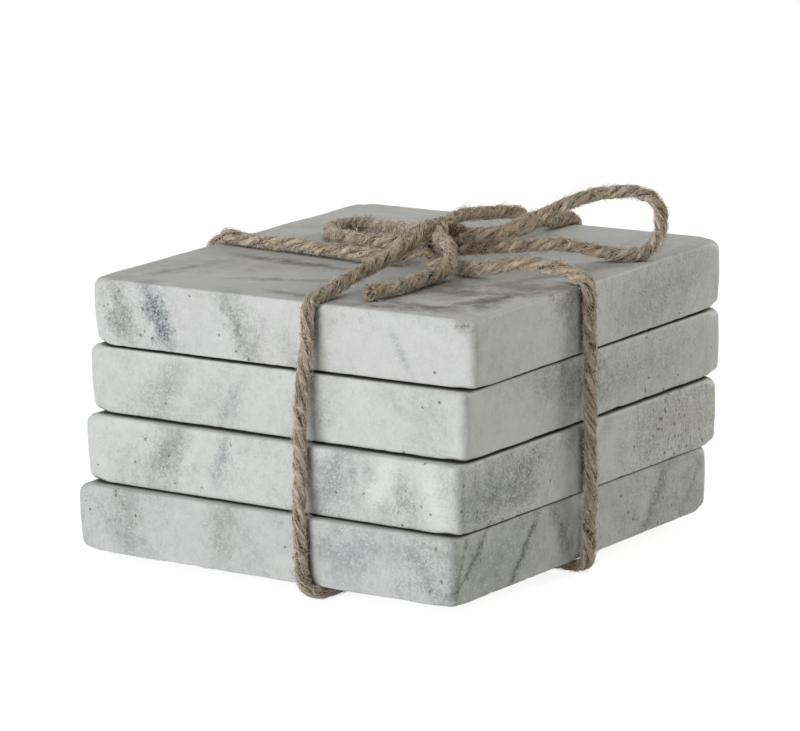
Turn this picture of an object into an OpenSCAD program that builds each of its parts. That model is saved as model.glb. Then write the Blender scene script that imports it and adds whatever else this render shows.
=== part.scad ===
// Four square stone coasters in a stack, tied crosswise with one length of jute twine.
// The twine passes under the stack both ways, climbs its four sides, crosses on top
// and ends in a bow. Origin: on the table, under the middle of the stack. +Z is up.

/* [Coasters] */
// Length of each side of a coaster
tile_side = 100; // [80:1:130]
// Thickness of a coaster
tile_thick = 15; // [10:0.5:25]
// Rounding of the upright corners, seen from above
tile_corner_r = 4; // [2:0.5:10]
// Rounding of the upper and lower edges
tile_edge_r = 1.5; // [0.5:0.5:4]
// Gap between two coasters that lie on each other
tile_gap = 0.05; // [0.02:0.01:0.3]

/* [Twine] */
// Diameter of the twine where nothing presses it
twine_d = 3.2; // [2.6:0.1:3.6]
// Height of the twine where the stack stands on it
pressed_h = 2.4; // [1.6:0.1:2.6]
// Gap between the twine and the stone beside it
twine_gap = 0.3; // [0.2:0.05:0.6]

/* [Knot] */
// Height of the middle of the knot above the top coaster
knot_h = 5.4; // [5.2:0.1:8]
// Radius of the wrap of the knot, to the middle of the twine
knot_wrap_r = 3.5; // [3:0.1:3.7]
// Radius of the bundle that the wrap holds
knot_core_r = 2.6; // [2:0.1:3]
// Length of the bundle that the wrap holds
knot_core_l = 8.6; // [6:0.1:9]
// Direction in which the bow lies, turned from +X
bow_turn = 33.5; // [20:0.5:45]

/* [Hidden] */
SIDES = ["front", "right", "back", "left"];
COASTERS = [for (k = [1:4]) str("coaster_", k)];
LEVELS = ["low", "mid", "high"];

// Each coaster lies a little out of line: its middle, from bottom to top, as shares of its side
slip_shares = [[-0.012, -0.019], [0.001, 0.001], [-0.002, 0.021], [0.006, 0.026]];
// The same coasters' turns in degrees
tile_turns = [-1, -1.5, -1, 0];
// Where the two under strands cross, as shares of the side
cross_share = [0.099, -0.055];
// Where each side's strand passes over the top edge, along that edge, as shares of the side
head_shares = [0.108, -0.06, 0.108, -0.015];
// Middle of the knot, as shares of the side
knot_share = [0.106, -0.024];

twine_r = twine_d / 2;
// Twine keeps its bulk when it is pressed flat
pressed_w = pressed_h + PI * (twine_d * twine_d - pressed_h * pressed_h) / 4 / pressed_h;
// How far a pressed strand shows beyond the stone before it turns up
foot_reach = twine_gap / 2;
foot_bend_r = twine_r + twine_gap - foot_reach;
edge_bend_r = tile_edge_r + twine_r + twine_gap;
overrun = tile_thick;
round_fn = 48;
cord_sides = 8;

// Outward and sideways directions of the four sides, and how a turned coaster's face leans there
OUT = [[0, -1], [1, 0], [0, 1], [-1, 0]];
ALONG = [[1, 0], [0, 1], [1, 0], [0, 1]];
LEAN = [-1, -1, 1, 1];

// Underside of coaster j, and for j = 4 the top of the stack
function level(j) = pressed_h + j * tile_thick + min(j, 3) * tile_gap;
function middle(k) = level(k) + tile_thick / 2;
function tile_centre(k) = tile_side * slip_shares[k];
function foot_along(s) = tile_side * cross_share * ALONG[s];
function head_along(s) = tile_side * head_shares[s];
function along_at(s, z) =
    foot_along(s) + (head_along(s) - foot_along(s)) * (z - level(0)) / (level(4) - level(0));

// Distance of coaster k's face from the origin, where the strand of side s passes it
function face_out(s, k) =
    let (off = foot_along(s) - tile_centre(k) * ALONG[s])
    tile_side / 2 / cos(tile_turns[k]) + tile_centre(k) * OUT[s] + LEAN[s] * off * tan(tile_turns[k]);

// A taut strand follows the outer hull of the edges that it passes
function edge_out(s, j) =
    twine_r + twine_gap + max([for (k = [max(j - 1, 0):min(j, 3)]) face_out(s, k)]);
function taut_out(s, j) =
    max([for (a = [0:j], b = [j:4])
        a == b ? edge_out(s, j)
            : edge_out(s, a) + (edge_out(s, b) - edge_out(s, a)) * (j - a) / (b - a)]);

function leg_point(s, out, z) =
    let (xy = OUT[s] * out + ALONG[s] * along_at(s, z)) [xy.x, xy.y, z];
function leg_middle(s, k) = leg_point(s, (taut_out(s, k) + taut_out(s, k + 1)) / 2, middle(k));
function leg_edge(s, j) = leg_point(s, taut_out(s, j), level(j));
function outward(s) = [OUT[s].x, OUT[s].y, 0];
function sideways(s) = [ALONG[s].x, ALONG[s].y, 0];

knot_at = [tile_side * knot_share.x, tile_side * knot_share.y, level(4)];
knot_mid = [0, 0, knot_h];
bow_dir = [cos(bow_turn), sin(bow_turn), 0];

// Routes on top of the stack, from the knot outwards: millimetres from knot_at.
// The strands run from the knot to just short of each edge.
STRAND_ROUTES = [
    [[-0.5, -1, 7.4], [0.1, -7.5, 6.3], [0.4, -15, 4.5], [0.5, -23, 3], [0.8, -32.5, 2.1], [1.1, -41, 1.9]],
    [[2.2, -1.5, 2.6], [7, -4.8, 2.2], [13, -7.2, 1.9], [19, -7.2, 2.4], [25, -4.5, 2.8],
        [31, -2.8, 2.5], [36.5, -3, 2]],
    [[0, 2.8, 5], [0.7, 9, 4.5], [1, 16, 3.6], [1, 24, 2.7], [0.8, 33, 2.1], [0.2, 43, 2], [-0.2, 50, 1.9]],
    [[-2.2, -1.5, 2.6], [-7, -4.2, 1.9], [-13, -5.2, 1.9], [-20, -4, 1.9], [-28, -3.2, 1.9],
        [-36, -2.4, 1.9], [-44, -1.8, 1.9], [-50, -1.2, 1.9], [-55.5, -0.3, 1.9]]
];
// The right loop stands on edge along bow_dir: distance along it, height above the stone
RIGHT_LOOP = [
    [5.6, 7.6], [10.5, 7.6], [15, 8.1], [19.5, 9.5], [25, 11], [32, 13.8], [39, 15.2], [44.5, 14.9],
    [48, 12.8], [49, 8.8], [48, 4.6], [44.5, 2], [40, 1.9], [34, 3], [28, 4], [22, 4.1], [16, 3.9],
    [10.5, 3.8], [5.6, 3.5]
];
LEFT_LOOP = [
    [-5.7, -0.8, 5], [-11, -2, 4.5], [-17, -0.6, 4.2], [-24, 2.5, 3.7], [-30.5, 6.5, 3],
    [-36, 12, 2.4], [-39, 16.5, 2.1], [-40.4, 21, 2], [-39.4, 24.8, 2], [-36, 25.8, 2.2],
    [-31, 22.8, 2.7], [-22.5, 15.5, 3.8], [-15, 9.8, 4.8], [-9.5, 6, 5.8], [-5, 3.6, 6.6]
];
FRONT_TAIL = [
    [3.7, -4, 6.8], [6.8, -6.2, 7.1], [10, -8.6, 6.1], [11.7, -10.8, 4.4], [11.8, -12.8, 2.9],
    [11.4, -15.2, 2.1], [11.3, -19, 1.9], [11.6, -25, 1.9], [11.4, -31, 1.9], [9.7, -38, 1.9]
];
BACK_TAIL = [
    [-0.6, 5.8, 8.4], [-0.8, 10.6, 9], [-1, 16.3, 8.9], [-1.2, 22, 8.1], [-1.4, 27.5, 7.2],
    [-1.5, 32, 6.2], [-1.5, 36.2, 5.1]
];

function unit(v) = v / norm(v);
function at_knot(points) = [for (p = points) knot_at + p];

// Ring of points round p, square to the direction dir; ref sets where the ring starts
function ring(p, dir, ref) =
    let (t = unit(dir), u = unit(ref - (ref * t) * t), v = cross(t, u))
    [for (i = [0:cord_sides - 1])
        let (a = 360 * (i + 0.5) / cord_sides)
        p + twine_r * (cos(a) * u + sin(a) * v)];

// Twine along points, with the directions in which its two ends face
module twine(points, ref, dir_a, dir_b) {
    last = len(points) - 1;
    rings = [for (i = [0:last])
        ring(points[i],
            i == 0 ? dir_a : i == last ? dir_b : unit(points[i + 1] - points[i]) + unit(points[i] - points[i - 1]),
            ref)];
    walls = [for (i = [0:last - 1], k = [0:cord_sides - 1])
        let (a = i * cord_sides + k,
            b = i * cord_sides + (k + 1) % cord_sides)
        each [[a, a + cord_sides, b], [b, a + cord_sides, b + cord_sides]]];
    ends = [for (k = [1:cord_sides - 2])
        each [[0, k, k + 1],
            [last * cord_sides, last * cord_sides + k + 1, last * cord_sides + k]]];
    polyhedron(points = [for (r = rings) each r], faces = concat(walls, ends));
}

module rounded_rect(w, h, r) {
    square([w - 2 * r, h], center = true);
    square([w, h - 2 * r], center = true);
    for (x = [-1, 1], y = [-1, 1])
        translate([x * (w / 2 - r), y * (h / 2 - r)]) circle(r, $fn = round_fn);
}

module rounded_bar(turn) {
    rotate([90, 0, turn])
        linear_extrude(tile_side + overrun, center = true)
            rounded_rect(tile_side, tile_thick, tile_edge_r);
}

// One coaster: what its plan and its two side views, each with its own rounding, have in common
module stone() {
    intersection() {
        linear_extrude(tile_thick + overrun, center = true)
            rounded_rect(tile_side, tile_side, tile_corner_r);
        rounded_bar(0);
        rounded_bar(90);
    }
}

module coaster(k) {
    color("gainsboro")
        translate([tile_centre(k).x, tile_centre(k).y, middle(k)])
            rotate([0, 0, tile_turns[k]]) stone();
}

// A strand under the stack, pressed to flat top and bottom, from one foot to the opposite one
module pressed_strand(s_from, s_to) {
    from = -face_out(s_from, 0) - foot_reach;
    to = face_out(s_to, 0) + foot_reach;
    core_w = pressed_w - pressed_h;
    translate([from, 0, pressed_h / 2])
        rotate([90, 0, 90])
            linear_extrude(to - from) {
                square([core_w, pressed_h], center = true);
                for (x = [-1, 1])
                    translate([x * core_w / 2, 0]) circle(pressed_h / 2, $fn = round_fn);
            }
}

module under_strand_along() {
    color("tan")
        translate([0, foot_along(1), 0]) pressed_strand(3, 1);
}

// Where the two under strands cross, this one stops at the other's sides
module under_strand_across() {
    color("tan")
        difference() {
            translate([foot_along(0), 0, 0]) rotate([0, 0, 90]) pressed_strand(0, 2);
            translate([foot_along(0), foot_along(1), 0])
                cube([2 * pressed_w, pressed_w, 3 * pressed_h], center = true);
        }
}

// From the end of an under strand, round the bottom edge, to half way up the lowest coaster
module foot(s) {
    out = face_out(s, 0) + foot_reach;
    bend = [for (a = [-90, -45, 0])
        leg_point(s, out + foot_bend_r * cos(a), level(0))
            + [0, 0, twine_r + foot_bend_r * (1 + sin(a)) - level(0)]];
    color("tan")
        twine(concat(bend, [leg_middle(s, 0)]), sideways(s), outward(s), [0, 0, 1]);
}

// Between the middles of coasters k and k + 1
module leg(s, k) {
    color("tan")
        twine([leg_middle(s, k), leg_edge(s, k + 1), leg_middle(s, k + 1)], sideways(s), [0, 0, 1], [0, 0, 1]);
}

// From half way up the top coaster, over its edge and across its top to the knot
module strand(s) {
    route = STRAND_ROUTES[s];
    out = face_out(s, 3) - tile_edge_r;
    bend = [for (a = [0, 45, 90])
        leg_point(s, out + edge_bend_r * cos(a), level(4))
            + [0, 0, edge_bend_r * sin(a) - tile_edge_r]];
    top = [for (i = [len(route) - 1:-1:0]) knot_at + route[i]];
    color("tan")
        twine(concat([leg_middle(s, 3)], bend, top), sideways(s), [0, 0, 1], route[0] - route[1]);
}

// One turn of twine drawn tight round the bundle of the bow
module knot() {
    color("tan")
        translate(knot_at + knot_mid)
            rotate([0, 0, bow_turn])
                rotate([0, 90, 0]) {
                    rotate_extrude($fn = round_fn) translate([knot_wrap_r, 0]) circle(twine_r, $fn = round_fn);
                    cylinder(h = knot_core_l, r = knot_core_r, center = true, $fn = round_fn);
                }
}

// A loop or a tail of the bow: its ends face the middle of the knot
module bow_cord(route, ref, loose_end) {
    last = len(route) - 1;
    color("tan")
        twine(at_knot(route), ref, route[0] - knot_mid,
            loose_end ? route[last] - route[last - 1] : knot_mid - route[last]);
}

module right_loop() {
    bow_cord([for (p = RIGHT_LOOP) p[0] * bow_dir + [0, 0, p[1]]], cross(bow_dir, [0, 0, 1]), false);
}

module left_loop() {
    bow_cord(LEFT_LOOP, [0, 0, 1], false);
}

module front_tail() {
    bow_cord(FRONT_TAIL, [0, 0, 1], true);
}

module back_tail() {
    bow_cord(BACK_TAIL, [0, 0, 1], true);
}

for (k = [0:3])
    coaster(k);
under_strand_along();
under_strand_across();
for (s = [0:3]) {
    foot(s);
    for (v = [0:2])
        leg(s, v);
    strand(s);
}
knot();
right_loop();
left_loop();
front_tail();
back_tail();
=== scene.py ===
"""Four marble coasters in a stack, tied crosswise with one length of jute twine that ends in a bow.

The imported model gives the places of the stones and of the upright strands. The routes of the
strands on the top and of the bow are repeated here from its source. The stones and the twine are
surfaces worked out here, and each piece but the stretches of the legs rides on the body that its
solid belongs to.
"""
import logging
import math
from collections.abc import Callable
from dataclasses import dataclass
from enum import Enum
from functools import partial

import bpy
import numpy as np
from mathutils import Matrix, Vector


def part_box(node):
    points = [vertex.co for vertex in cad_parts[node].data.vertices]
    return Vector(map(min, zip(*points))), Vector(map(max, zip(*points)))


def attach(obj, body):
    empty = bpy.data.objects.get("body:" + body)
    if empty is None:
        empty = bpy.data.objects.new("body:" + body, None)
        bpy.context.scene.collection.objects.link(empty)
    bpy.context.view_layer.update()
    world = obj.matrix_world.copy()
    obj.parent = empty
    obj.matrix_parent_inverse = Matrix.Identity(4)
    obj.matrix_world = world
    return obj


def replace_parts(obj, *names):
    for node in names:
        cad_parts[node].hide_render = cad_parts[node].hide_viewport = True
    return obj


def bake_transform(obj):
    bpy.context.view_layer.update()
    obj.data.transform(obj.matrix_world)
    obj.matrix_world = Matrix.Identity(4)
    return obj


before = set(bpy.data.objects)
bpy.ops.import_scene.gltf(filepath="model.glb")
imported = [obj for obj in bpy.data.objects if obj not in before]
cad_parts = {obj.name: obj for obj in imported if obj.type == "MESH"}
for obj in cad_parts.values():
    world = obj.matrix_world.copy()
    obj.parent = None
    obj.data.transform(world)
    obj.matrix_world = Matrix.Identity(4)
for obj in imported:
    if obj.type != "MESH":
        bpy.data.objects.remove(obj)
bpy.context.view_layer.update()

# add_node() for one node tree
AddNode = Callable[..., bpy.types.Node]

LOG = logging.getLogger("coasters")
MM = 0.001

# Lengths are in millimetres and turns in degrees, from here on, as in the construction. The
# twine's firm body is a little thinner than the whole, and its fuzz fills the rest
BODY_D = 2.8
# Height of the twine that the stack stands on
PRESSED_H = 2.4
# What the pressed twine keeps from the floor and from the stone above it, how much wider it gets,
# and where above its own middle the pressing starts to fade and where it ends
PRESSED_GAP = 0.02
PRESSED_SPREAD = 0.2
PRESSED_FADE = (0.05, 1.0)
# The knot: its middle in plan, the height of its middle above the stone, and the bow's direction
KNOT_XY = (10.6, -2.4)
KNOT_H = 5.4
BOW_TURN = 33.5
# How the stones are turned and which body each belongs to, lowest first
TILE_TURNS = (-1.0, -1.5, -1.0, 0.0)
BODIES = ("bottom_coaster", "second_coaster", "third_coaster", "top_coaster")
# Spacing of the points along every line of twine
STEP = 0.32
# The twine's firm body sinks this far onto the stone where its route runs below the first of
# these heights, and not at all above the second
SINK = 0.4
SINK_HEIGHTS = (1.9, 5.0)
# Marks in the marble lie on the top of the stack when they are above this height, otherwise on
# the right faces when they are further right than this, and otherwise on the front ones
TOP_MARKS_Z = 62.0
RIGHT_MARKS_X = 48.0

# Routes from the knot outwards, from the point of the top stone below the knot
FRONT_ROUTE = [(-0.5, -1, 7.4), (0.1, -7.5, 6.3), (0.4, -15, 4.5), (0.5, -23, 3), (0.8, -32.5, 2.1),
               (1.1, -41, 1.9)]
RIGHT_ROUTE = [(2.2, -1.5, 2.6), (7, -4.8, 2.2), (13, -7.2, 1.9), (19, -7.2, 2.4), (25, -4.5, 2.8),
               (31, -2.8, 2.5), (36.5, -3, 2)]
BACK_ROUTE = [(0, 2.8, 5), (0.7, 9, 4.5), (1, 16, 3.6), (1, 24, 2.7), (0.8, 33, 2.1), (0.2, 43, 2),
              (-0.2, 50, 1.9)]
LEFT_ROUTE = [(-2.2, -1.5, 2.6), (-7, -4.2, 1.9), (-13, -5.2, 1.9), (-20, -4, 1.9), (-28, -3.2, 1.9),
              (-36, -2.4, 1.9), (-44, -1.8, 1.9), (-50, -1.2, 1.9), (-55.5, -0.3, 1.9)]
# The right loop stands on edge: distance along the bow's direction, height above the stone
RIGHT_LOOP = [(5.6, 7.6), (10.5, 7.6), (15, 8.1), (19.5, 9.5), (25, 11), (32, 13.8), (39, 15.2),
              (44.5, 14.9), (48, 12.8), (49, 8.8), (48, 4.6), (44.5, 2), (40, 1.9), (34, 3), (28, 4),
              (22, 4.1), (16, 3.9), (10.5, 3.8), (5.6, 3.5)]
LEFT_LOOP = [(-5.7, -0.8, 5), (-11, -2, 4.5), (-17, -0.6, 4.2), (-24, 2.5, 3.7), (-30.5, 6.5, 3),
             (-36, 12, 2.4), (-39, 16.5, 2.1), (-40.4, 21, 2), (-39.4, 24.8, 2), (-36, 25.8, 2.2),
             (-31, 22.8, 2.7), (-22.5, 15.5, 3.8), (-15, 9.8, 4.8), (-9.5, 6, 5.8), (-5, 3.6, 6.6)]
FRONT_TAIL = [(3.7, -4, 6.8), (6.8, -6.2, 7.1), (10, -8.6, 6.1), (11.7, -10.8, 4.4), (11.8, -12.8, 2.9),
              (11.4, -15.2, 2.1), (11.3, -19, 1.9), (11.6, -25, 1.9), (11.4, -31, 1.9), (9.7, -38, 1.9)]
BACK_TAIL = [(-0.6, 5.8, 8.4), (-0.8, 10.6, 9), (-1, 16.3, 8.9), (-1.2, 22, 8.1), (-1.4, 27.5, 7.2),
             (-1.5, 32, 6.2), (-1.5, 36.2, 5.1)]
# The bend at the foot of each upright strand, down to under the stack: way out of the strand's
# line, height above the floor and share of the foot's drift
FOOT_BEND = [(0, 4.6, 0.1), (-0.35, 3.0, 0.3), (-1.35, 1.85, 0.6), (-3.0, 1.35, 0.9),
             (-5.5, PRESSED_H / 2, 1.0), (-9.0, PRESSED_H / 2, 1.0)]


class Slot(Enum):
    """The record's material slots."""

    MARBLE = "marble"
    JUTE = "jute"


class Side(Enum):
    """The four sides that the twine climbs, with the way out of each in plan."""

    FRONT = (0.0, -1.0)
    RIGHT = (1.0, 0.0)
    BACK = (0.0, 1.0)
    LEFT = (-1.0, 0.0)

    @property
    def label(self) -> str:
        """The side's name, as the nodes' names begin."""
        return self.name.lower()

    @property
    def out(self) -> np.ndarray:
        """Unit vector that points out of this side."""
        return np.array([*self.value, 0.0])


def linear_colour(hex_value: str) -> tuple[float, float, float, float]:
    """Turns an sRGB hex colour into the linear colour that a shader socket takes.

    Args:
        hex_value: Six hex digits, such as "d8d8d6".

    Returns:
        Red, green, blue and alpha.
    """
    values = [int(hex_value[i:i + 2], 16) / 255 for i in (0, 2, 4)]
    linear = [v / 12.92 if v <= 0.04045 else ((v + 0.055) / 1.055) ** 2.4 for v in values]
    return (*linear, 1.0)


def fill(node: bpy.types.Node, inputs: dict) -> None:
    """Sets or links the inputs of a node.

    Args:
        node: The node.
        inputs: Socket name or number to a value, to an sRGB hex colour or to another node's
            output socket.
    """
    for key, value in inputs.items():
        if isinstance(value, bpy.types.NodeSocket):
            node.id_data.links.new(value, node.inputs[key])
        else:
            node.inputs[key].default_value = linear_colour(value) if isinstance(value, str) else value


def add_node(tree: bpy.types.NodeTree, kind: str, inputs: dict | None = None,
             **settings: object) -> bpy.types.Node:
    """Adds one node, sets its settings and fills its inputs.

    Args:
        tree: The node tree.
        kind: Blender's name of the node type, without the ShaderNode before it.
        inputs: What the inputs hold, as fill() takes it.
        **settings: The node's own properties.

    Returns:
        The new node.
    """
    node = tree.nodes.new("ShaderNode" + kind)
    for name, value in settings.items():
        setattr(node, name, value)
    fill(node, inputs or {})
    return node


def empty_tree(owner: bpy.types.Material | bpy.types.World) -> AddNode:
    """Gives a material or a world an empty node tree.

    Args:
        owner: The material or the world.

    Returns:
        add_node for that tree.
    """
    owner.use_nodes = True
    owner.node_tree.nodes.clear()
    return partial(add_node, owner.node_tree)


def new_material(name: str) -> tuple[bpy.types.Material, AddNode, bpy.types.Node]:
    """Makes a material with only a Principled shader in it.

    Args:
        name: The material's name.

    Returns:
        The material, add_node for its tree and its Principled node.
    """
    material = bpy.data.materials.new(name)
    add = empty_tree(material)
    shader = add("BsdfPrincipled")
    add("OutputMaterial", {"Surface": shader.outputs[0]})
    return material, add, shader


def smoothstep(x: np.ndarray, low: float, high: float) -> np.ndarray:
    """Rises smoothly from 0 at low to 1 at high."""
    t = np.clip((x - low) / (high - low), 0, 1)
    return t * t * (3 - 2 * t)


def unit(vectors: np.ndarray) -> np.ndarray:
    """The vectors, each made one long."""
    return vectors / np.maximum(np.linalg.norm(vectors, axis=-1, keepdims=True), 1e-9)


def turning(degrees: float) -> np.ndarray:
    """Matrix that turns places anticlockwise about the Z axis.

    Args:
        degrees: How far it turns them.

    Returns:
        The matrix, to stand after rows of places in a product.
    """
    angle = math.radians(degrees)
    cosine, sine = math.cos(angle), math.sin(angle)
    return np.array([[cosine, sine, 0], [-sine, cosine, 0], [0, 0, 1]])


def round_about(centre: np.ndarray, side: np.ndarray, other: np.ndarray, angle: np.ndarray,
                radius: np.ndarray) -> np.ndarray:
    """Points round a centre: centre + radius (cos angle side + sin angle other).

    Args:
        centre: Centre points.
        side: Unit vectors that angle 0 points along.
        other: Unit vectors that a quarter turn points along.
        angle: Angles, in radians.
        radius: Distances from the centre.

    Returns:
        The points.
    """
    return centre + radius[..., None] * (np.cos(angle)[..., None] * side + np.sin(angle)[..., None] * other)


def lattice_noise(points: np.ndarray, cell: float, seed: int) -> np.ndarray:
    """Smooth noise from -1 to 1: random values on a cubic lattice, blended inside each cube.

    Args:
        points: Places, in any shape that ends in 3.
        cell: Edge of the lattice's cubes, in the points' unit.
        seed: Picks the random values.

    Returns:
        One value for each point.
    """
    table = np.random.default_rng(seed).uniform(-1, 1, 4096)
    scaled = np.asarray(points, float) / cell
    base = np.floor(scaled).astype(np.int64)
    part = scaled - base
    weight = part * part * (3 - 2 * part)
    # Three large primes spread the cubes over the table
    primes = np.array([73856093, 19349663, 83492791])
    total = np.zeros(scaled.shape[:-1])
    for corner in np.ndindex(2, 2, 2):
        key = (base + corner) * primes
        value = table[(key[..., 0] ^ key[..., 1] ^ key[..., 2]) % len(table)]
        total += value * np.where(np.array(corner) == 1, weight, 1 - weight).prod(axis=-1)
    return total


def tube_quads(tubes: int, rings: int, sides: int) -> np.ndarray:
    """Faces between the rings of tubes whose points are numbered tube by tube and ring by ring.

    Args:
        tubes: How many tubes there are.
        rings: Rings of each tube.
        sides: Points of each ring, anticlockwise for one who looks back from the tube's far end.

    Returns:
        Four point numbers for each face, which points outwards.
    """
    tube, ring, one = np.meshgrid(np.arange(tubes), np.arange(rings - 1), np.arange(sides), indexing="ij")
    two = (one + 1) % sides
    here = (tube * rings + ring) * sides
    ahead = here + sides
    return np.stack([here + one, here + two, ahead + two, ahead + one], axis=-1).reshape(-1, 4)


def cap_triangles(rings: int, sides: int) -> np.ndarray:
    """Faces that close one tube at both ends, each round a centre point numbered after the rings.

    Args:
        rings: Rings of the tube.
        sides: Points of each ring.

    Returns:
        Three point numbers for each face, which points the way that tube_quads() gives.
    """
    one = np.arange(sides)
    two = (one + 1) % sides
    last = (rings - 1) * sides
    return np.concatenate([
        np.stack([np.full(sides, rings * sides), two, one], axis=1),
        np.stack([np.full(sides, rings * sides + 1), last + one, last + two], axis=1),
    ])


@dataclass
class Surface:
    """Corners, four-sided and three-sided faces, and values on the corners, ready to be one mesh."""

    points: np.ndarray
    quads: np.ndarray
    triangles: np.ndarray
    values: dict[str, np.ndarray]

    @staticmethod
    def joined(parts: list["Surface"]) -> "Surface":
        """Puts several surfaces into one, each keeping its own faces.

        Args:
            parts: The surfaces, with the same kinds of values.

        Returns:
            The one surface.
        """
        starts = np.cumsum([0] + [len(part.points) for part in parts[:-1]])
        return Surface(
            np.concatenate([part.points for part in parts]),
            np.concatenate([part.quads + start for part, start in zip(parts, starts)]),
            np.concatenate([part.triangles + start for part, start in zip(parts, starts)]),
            {name: np.concatenate([part.values[name] for part in parts]) for name in parts[0].values},
        )

    def piece(self, name: str, material: bpy.types.Material, slot: Slot) -> bpy.types.Object:
        """Makes the surface a smooth mesh object in the scene.

        Args:
            name: The piece's name.
            material: What it is made of.
            slot: Not used.

        Returns:
            The object, at the origin, with its place in its mesh.
        """
        mesh = bpy.data.meshes.new(name)
        mesh.vertices.add(len(self.points))
        mesh.vertices.foreach_set("co", self.points.astype(np.float32).ravel())
        corners = np.concatenate([self.quads.ravel(), self.triangles.ravel()]).astype(np.int32)
        starts = np.concatenate([
            np.arange(len(self.quads)) * 4,
            len(self.quads) * 4 + np.arange(len(self.triangles)) * 3,
        ]).astype(np.int32)
        mesh.loops.add(len(corners))
        mesh.loops.foreach_set("vertex_index", corners)
        mesh.polygons.add(len(starts))
        mesh.polygons.foreach_set("loop_start", starts)
        mesh.polygons.foreach_set("use_smooth", np.ones(len(starts), bool))
        mesh.update(calc_edges=True)
        mesh.validate()
        for key, value in self.values.items():
            kind, member = ("FLOAT_VECTOR", "vector") if value.ndim == 2 else ("FLOAT", "value")
            mesh.attributes.new(key, kind, "POINT").data.foreach_set(member, value.astype(np.float32).ravel())
        mesh.materials.append(material)
        made = bpy.data.objects.new(name, mesh)
        bpy.context.scene.collection.objects.link(made)
        LOG.info("%s: %d faces", name, len(starts))
        return made


@dataclass
class Line:
    """A smooth centreline with a steady frame: points, and two unit vectors square to it, by length."""

    along: np.ndarray
    points: np.ndarray
    tangents: np.ndarray
    side: np.ndarray
    other: np.ndarray

    @staticmethod
    def through(route: np.ndarray, reference: np.ndarray, step: float) -> "Line":
        """Runs a cubic through every route point and spaces it evenly.

        Each stretch is a Hermite cubic whose end slopes are the mean of the slopes of the two
        stretches that meet there, each weighted by the other's length.

        Args:
            route: Places that the line passes.
            reference: Direction that the first square vector is laid nearest to.
            step: Spacing of the points.

        Returns:
            The line.
        """
        route = np.asarray(route, float)
        gaps = np.linalg.norm(np.diff(route, axis=0), axis=1)
        slopes = np.diff(route, axis=0) / gaps[:, None]
        inner = slopes[:-1] * gaps[1:, None] + slopes[1:] * gaps[:-1, None]
        inner /= (gaps[:-1] + gaps[1:])[:, None]
        slope = np.concatenate([slopes[:1], inner, slopes[-1:]])
        knots = np.concatenate([[0], np.cumsum(gaps)])
        # The cubics are taken four times as finely as the even spacing
        fine = np.linspace(0, knots[-1], max(8, int(knots[-1] / step * 4)))
        i = np.clip(np.searchsorted(knots, fine, side="right") - 1, 0, len(gaps) - 1)
        h = gaps[i][:, None]
        t = ((fine - knots[i]) / gaps[i])[:, None]
        curve = ((2 * t ** 3 - 3 * t ** 2 + 1) * route[i] + (t ** 3 - 2 * t ** 2 + t) * h * slope[i]
                 + (-2 * t ** 3 + 3 * t ** 2) * route[i + 1] + (t ** 3 - t ** 2) * h * slope[i + 1])
        run = np.concatenate([[0], np.cumsum(np.linalg.norm(np.diff(curve, axis=0), axis=1))])
        along = np.linspace(0, run[-1], max(4, int(round(run[-1] / step)) + 1))
        points = np.stack([np.interp(along, run, curve[:, k]) for k in range(3)], axis=1)
        tangents = unit(np.gradient(points, along, axis=0))
        side = unit(reference - (tangents @ reference)[:, None] * tangents)
        return Line(along, points, tangents, side, np.cross(tangents, side))

    @property
    def length(self) -> float:
        """Length of the line."""
        return float(self.along[-1])

    def at(self, where: np.ndarray) -> tuple[np.ndarray, np.ndarray, np.ndarray, np.ndarray]:
        """Reads the line between its points.

        Args:
            where: Lengths along the line.

        Returns:
            For each length the centre point, the direction and the two vectors square to it.
        """
        return tuple(
            np.stack([np.interp(where, self.along, part[:, k]) for k in range(3)], axis=-1)
            for part in (self.points, self.tangents, self.side, self.other)
        )

    def index_near(self, place: np.ndarray) -> int:
        """Number of the line's point that lies nearest to a place."""
        return int(np.linalg.norm(self.points - place, axis=1).argmin())


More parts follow.
